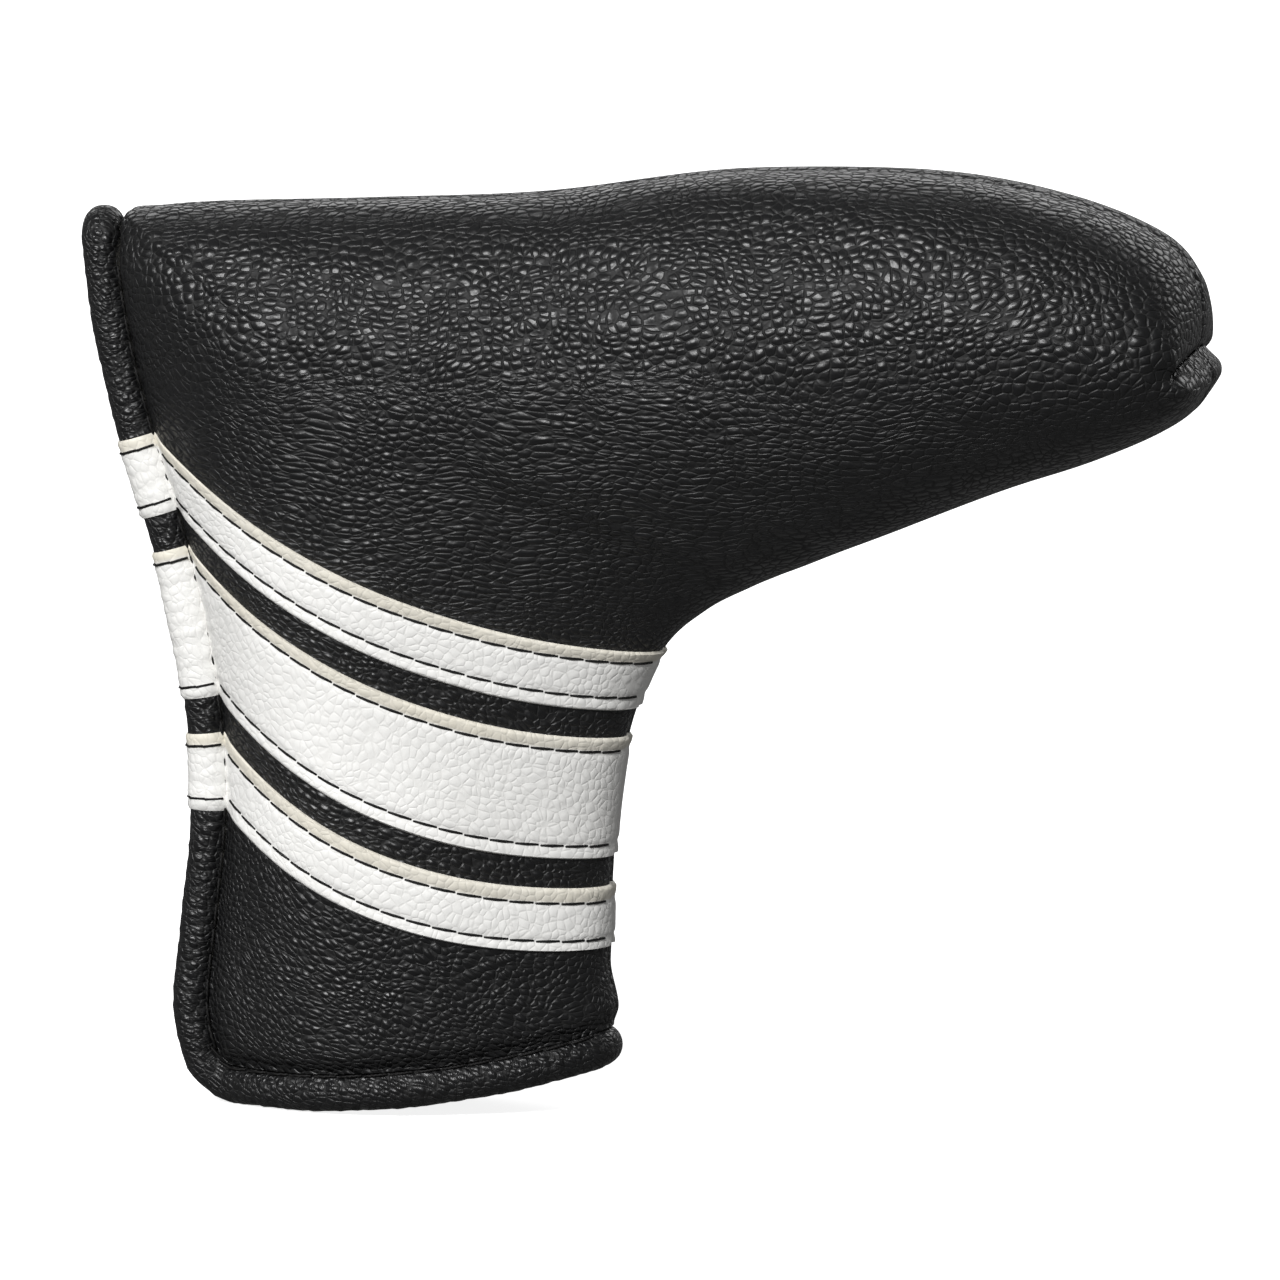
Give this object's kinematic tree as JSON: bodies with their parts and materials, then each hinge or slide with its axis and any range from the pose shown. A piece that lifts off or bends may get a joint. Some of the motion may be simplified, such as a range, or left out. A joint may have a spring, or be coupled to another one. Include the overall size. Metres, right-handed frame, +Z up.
{
  "type": "putter head cover",
  "caption": "Padded leather boot cover for a blade putter head, with a heel slit that shuts on hidden magnets, a rolled binding and a striped neck.",
  "frame": {"origin": "middle of the neck's mouth, level with its rolled rim", "axes": "+X towards the toe, +Z up from the mouth to the head, -Y towards the near side"},
  "size_m": [0.1587, 0.0488, 0.1327],
  "materials": {
    "black_leather": "pebbled black leather with a soft sheen",
    "white_leather": "fine-grained white leather, satin",
    "thread": "twisted black polyester thread",
    "foam": "closed-cell foam, matt",
    "fleece": "short-pile grey fleece",
    "filler_cord": "plain cotton filler cord",
    "magnet": "nickel-plated disc magnet",
    "tape": "woven nylon tape"
  },
  "bodies": {
    "shell": {"near_leather": "black_leather", "near_padding": "foam", "near_lining": "fleece", "near_stripe_lower": "white_leather", "near_stripe_middle": "white_leather", "near_stripe_upper": "white_leather", "near_stripe_thread": "thread", "near_mouth_binding": "black_leather", "near_mouth_cord": "filler_cord", "near_mouth_thread": "thread", "far_leather": "black_leather", "far_padding": "foam", "far_lining": "fleece", "far_stripe_lower": "white_leather", "far_stripe_middle": "white_leather", "far_stripe_upper": "white_leather", "far_stripe_thread": "thread", "far_mouth_binding": "black_leather", "far_mouth_cord": "filler_cord", "far_mouth_thread": "thread", "arch_binding": "black_leather", "arch_cord": "filler_cord"},
    "near_flap": {"near_flap_leather": "black_leather", "near_flap_padding": "foam", "near_flap_lining": "fleece", "near_flap_stripe_lower": "white_leather", "near_flap_stripe_middle": "white_leather", "near_flap_stripe_upper": "white_leather", "near_flap_thread": "thread", "near_edge_binding": "black_leather", "near_edge_cord": "filler_cord", "near_edge_thread": "thread", "near_insert_lower": "white_leather", "near_insert_middle": "white_leather", "near_insert_upper": "white_leather", "near_magnet_tape": "tape", "near_magnet_lower": "magnet", "near_magnet_upper": "magnet"},
    "far_flap": {"far_flap_leather": "black_leather", "far_flap_padding": "foam", "far_flap_lining": "fleece", "far_flap_stripe_lower": "white_leather", "far_flap_stripe_middle": "white_leather", "far_flap_stripe_upper": "white_leather", "far_flap_thread": "thread", "far_edge_binding": "black_leather", "far_edge_cord": "filler_cord", "far_edge_thread": "thread", "far_insert_lower": "white_leather", "far_insert_middle": "white_leather", "far_insert_upper": "white_leather", "far_magnet_tape": "tape", "far_magnet_lower": "magnet", "far_magnet_upper": "magnet"}
  },
  "joints": [
    {"name": "near_flap_hinge", "type": "hinge", "parent": "shell", "child": "near_flap", "pos_m": [-0.0362, -0.0158, 0.12], "axis": [-0.3592, 0.0264, 0.9329], "range_deg": [0, 60], "stiffness_Nm_per_rad": 0.05},
    {"name": "far_flap_hinge", "type": "hinge", "parent": "shell", "child": "far_flap", "pos_m": [-0.0362, 0.0158, 0.12], "axis": [0.3592, 0.0264, -0.9329], "range_deg": [0, 60], "stiffness_Nm_per_rad": 0.05}
  ]
}
